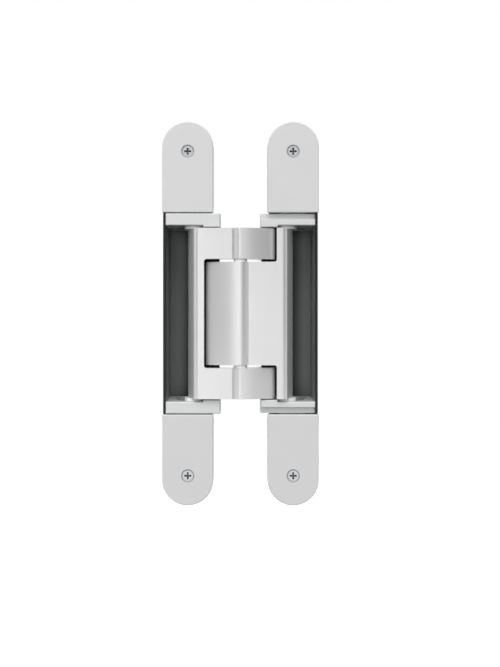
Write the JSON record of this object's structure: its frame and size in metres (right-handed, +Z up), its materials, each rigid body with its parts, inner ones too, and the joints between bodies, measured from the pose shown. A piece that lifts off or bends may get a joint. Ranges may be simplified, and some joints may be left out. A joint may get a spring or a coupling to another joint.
{
  "type": "concealed door hinge",
  "caption": "Concealed hinge for a flush door: two cast arms link the frame and door housings and fold into their pockets as the door shuts.",
  "frame": {"origin": "centre of the frame leaf's fixing holes, on the seat face at the back of its flange", "axes": "+X from the frame leaf to the door leaf with the hinge open, +Y into the frame and door, +Z up along the hinge"},
  "size_m": [0.098, 0.0441, 0.24],
  "materials": {
    "housing": "charcoal powder coat on cast zinc, matte",
    "cover": "satin silver lacquer",
    "screw": "zinc plated, satin",
    "block": "cast, satin silver",
    "arm": "satin silver",
    "pin": "blackened steel, ground",
    "bush": "pale bearing plastic",
    "glide": "pale bearing plastic",
    "adjuster": "zinc plated"
  },
  "bodies": {
    "frame_leaf": {"frame_housing": "housing", "frame_cover_top": "cover", "frame_cover_bottom": "cover", "frame_cover_screws": "screw"},
    "side_adjuster_top": {"side_screw_top": "adjuster", "side_clip_top": "adjuster"},
    "side_adjuster_bottom": {"side_screw_bottom": "adjuster", "side_clip_bottom": "adjuster"},
    "frame_carrier": {"frame_block_top": "block", "frame_block_bottom": "block", "frame_pivot_pin": "pin"},
    "inner_arm": {"inner_arm": "arm", "centre_bushes": "bush", "inner_arm_bushes": "bush", "inner_arm_slide_pin": "pin", "inner_arm_slide_rings": "glide"},
    "outer_arm": {"outer_arm": "arm", "centre_pin": "pin", "outer_arm_bushes": "bush", "outer_arm_slide_pin": "pin", "outer_arm_slide_rings": "glide"},
    "door_carrier": {"door_block_top": "block", "door_block_bottom": "block", "door_pivot_pin": "pin"},
    "door_leaf": {"door_housing": "housing", "door_cover_top": "cover", "door_cover_bottom": "cover", "door_cover_screws": "screw", "height_clamp_screws": "adjuster", "height_clamp_nuts": "adjuster"}
  },
  "joints": [
    {"name": "side_adjust", "type": "slide", "parent": "frame_leaf", "child": "frame_carrier", "axis": [0, 1, 0], "range_m": [-0.003, 0.003]},
    {"name": "side_screw_turn_top", "type": "hinge", "parent": "frame_leaf", "child": "side_adjuster_top", "pos_m": [0, -0.0075, 0.073], "axis": [0, 1, 0], "range_deg": [-1080, 1080]},
    {"name": "side_screw_turn_bottom", "type": "hinge", "parent": "frame_leaf", "child": "side_adjuster_bottom", "pos_m": [0, -0.0075, -0.073], "axis": [0, 1, 0], "range_deg": [-1080, 1080]},
    {"name": "frame_fold", "type": "hinge", "parent": "frame_carrier", "child": "inner_arm", "pos_m": [0.0168, 0.002, 0], "axis": [0, 0, -1], "range_deg": [0, 112.92]},
    {"name": "centre_fold", "type": "hinge", "parent": "inner_arm", "child": "outer_arm", "pos_m": [0.033, -0.0055, 0], "axis": [0, 0, -1], "range_deg": [-46.5, 0]},
    {"name": "door_fold", "type": "hinge", "parent": "outer_arm", "child": "door_carrier", "pos_m": [0.0492, 0.002, 0], "axis": [0, 0, -1], "range_deg": [0, 113.5]},
    {"name": "height_adjust", "type": "slide", "parent": "door_carrier", "child": "door_leaf", "axis": [0, 0, 1], "range_m": [-0.003, 0.003]}
  ],
  "couplings": [
    {"joint": "centre_fold", "follows": "frame_fold", "ratio": -0.40596},
    {"joint": "door_fold", "follows": "frame_fold", "ratio": 1},
    {"joint": "side_screw_turn_top", "follows": "side_adjust", "rad_per_m": 6283.2},
    {"joint": "side_screw_turn_bottom", "follows": "side_adjust", "rad_per_m": 6283.2}
  ]
}
